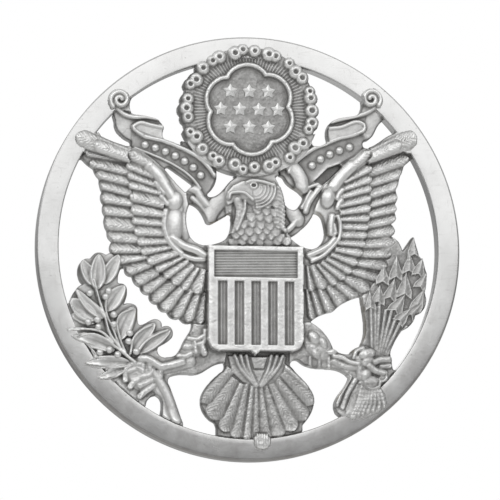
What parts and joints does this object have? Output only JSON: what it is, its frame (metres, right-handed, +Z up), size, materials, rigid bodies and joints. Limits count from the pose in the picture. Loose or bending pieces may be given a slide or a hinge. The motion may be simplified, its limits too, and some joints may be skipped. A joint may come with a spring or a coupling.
{
  "type": "pierced cap badge",
  "caption": "Round pierced cap badge: a spread eagle with shield, branch and arrows inside a plain ring, held to a cap by a rear screw post and clamp nut.",
  "frame": {"origin": "the ring's centre on the badge's flat back", "axes": "X to the badge's right as seen from the front, +Y out of the back towards the cap, Z up; the face looks along -Y"},
  "size_m": [0.0444, 0.0126, 0.0444],
  "materials": {
    "rim_silver": "silver-plated brass, polished, with fine scratches",
    "oxidised_silver": "silver-plated brass, satin, darkened in the recesses",
    "nickel_plate": "nickel-plated brass, satin",
    "washer_brass": "bare brass, worn",
    "nut_brass": "bare brass, turned"
  },
  "bodies": {
    "badge": {"rim_ring": "rim_silver", "glory_disc": "oxidised_silver", "shield": "oxidised_silver", "branch_berries": "oxidised_silver", "leg_left": "oxidised_silver", "leg_right": "oxidised_silver", "scroll_left": "oxidised_silver", "scroll_right": "oxidised_silver", "leading_feather_left": "oxidised_silver", "leading_feather_right": "oxidised_silver", "tail_tip": "oxidised_silver", "branch_stem": "oxidised_silver", "branch_butt": "oxidised_silver", "arrow_fletchings": "oxidised_silver", "eagle_head": "oxidised_silver", "breast": "oxidised_silver", "wing_arm_left": "oxidised_silver", "wing_arm_right": "oxidised_silver", "arrow_heads": "oxidised_silver", "leaves_left": "oxidised_silver", "leaf_sprig": "oxidised_silver", "leaves_top": "oxidised_silver", "leaves_right": "oxidised_silver", "leaf_curls": "oxidised_silver", "coverts_left": "oxidised_silver", "coverts_right": "oxidised_silver", "ribbon_left": "oxidised_silver", "ribbon_right": "oxidised_silver", "arrow_shafts": "oxidised_silver", "primaries_left": "oxidised_silver", "primaries_right": "oxidised_silver", "ribbon_tail_left": "oxidised_silver", "ribbon_tail_right": "oxidised_silver", "tail_fan": "oxidised_silver", "glory_stars": "oxidised_silver", "screw_post": "nickel_plate", "locating_pin_left": "nickel_plate", "locating_pin_right": "nickel_plate"},
    "keeper": {"keeper_washer": "washer_brass"},
    "nut": {"clamp_nut": "nut_brass"}
  },
  "joints": [
    {"name": "keeper_slide", "type": "slide", "parent": "badge", "child": "keeper", "axis": [0, 1, 0], "range_m": [-0.0021, 0.0034]},
    {"name": "nut_turn", "type": "hinge", "parent": "keeper", "child": "nut", "pos_m": [0.00065, 0.0035, -0.0051], "axis": [0, 1, 0], "range_deg": [-953, 1543]}
  ],
  "couplings": [
    {"joint": "nut_turn", "follows": "keeper_slide", "rad_per_m": 7915.8}
  ]
}
